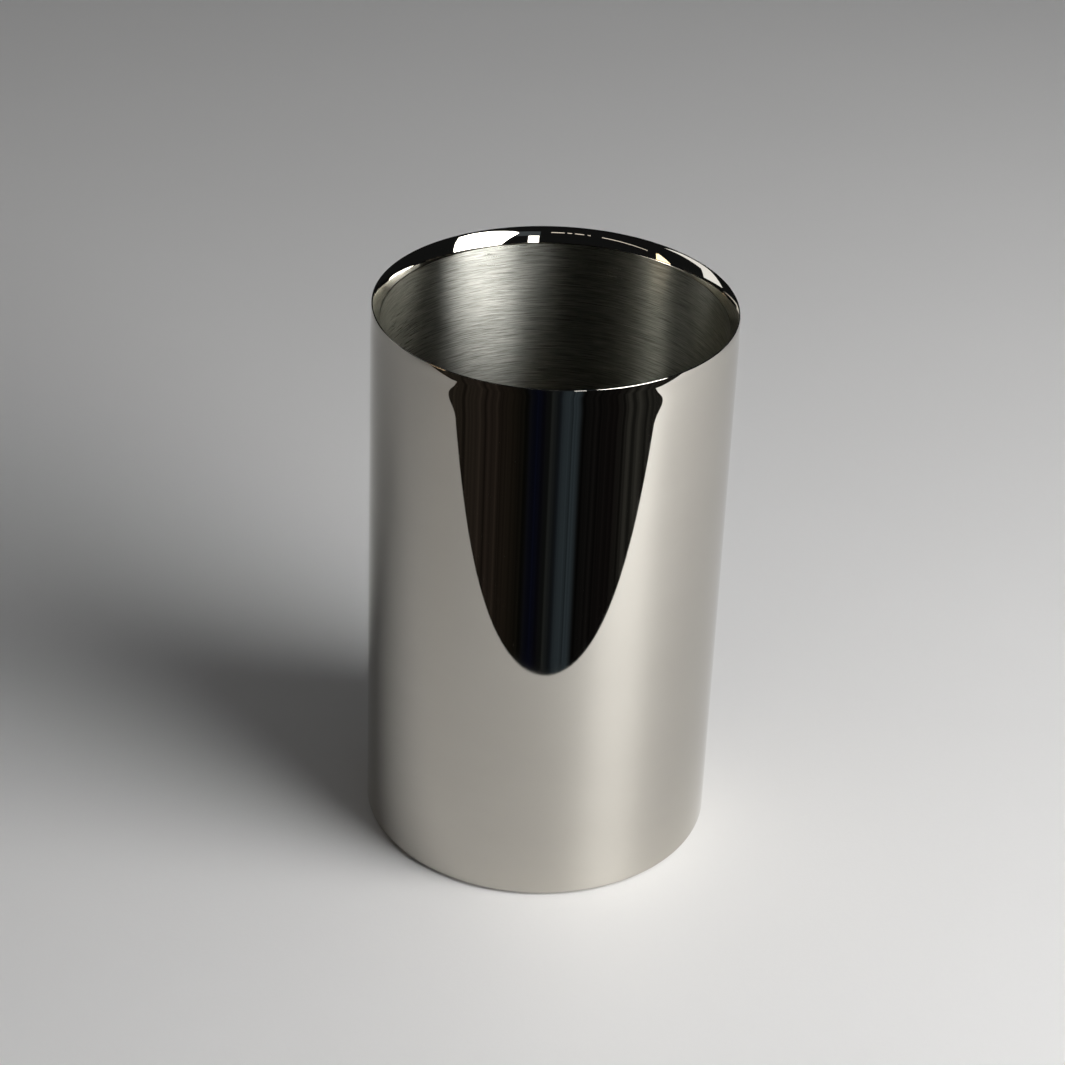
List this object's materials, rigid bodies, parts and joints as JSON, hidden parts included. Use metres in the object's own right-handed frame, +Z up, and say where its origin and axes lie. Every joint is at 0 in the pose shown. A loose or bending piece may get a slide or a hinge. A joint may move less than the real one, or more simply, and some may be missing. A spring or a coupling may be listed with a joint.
{
  "type": "bottle cooler",
  "caption": "Double-walled round bottle cooler: polished steel tube outside, brushed steel cup inside, turned rim and a rubber foot ring under the base.",
  "frame": {"origin": "on the table under the centre of the foot ring", "axes": "+Z up along the axis of the tube, out of the mouth; +X and +Y are free, because the part is round"},
  "size_m": [0.12, 0.12, 0.195],
  "materials": {
    "polished_steel": "polished",
    "brushed_steel": "satin",
    "base_steel": "satin",
    "moulded_support": "matte",
    "foam": "matte",
    "plug_rubber": "matte",
    "foot_rubber": "matte"
  },
  "bodies": {
    "root": {"outer_shell": "polished_steel", "rim_ring": "polished_steel", "inner_liner": "brushed_steel", "support_ring": "moulded_support", "insulation_disc": "foam", "base_plate": "base_steel", "vent_plug": "plug_rubber", "foot_ring": "foot_rubber"}
  },
  "joints": []
}
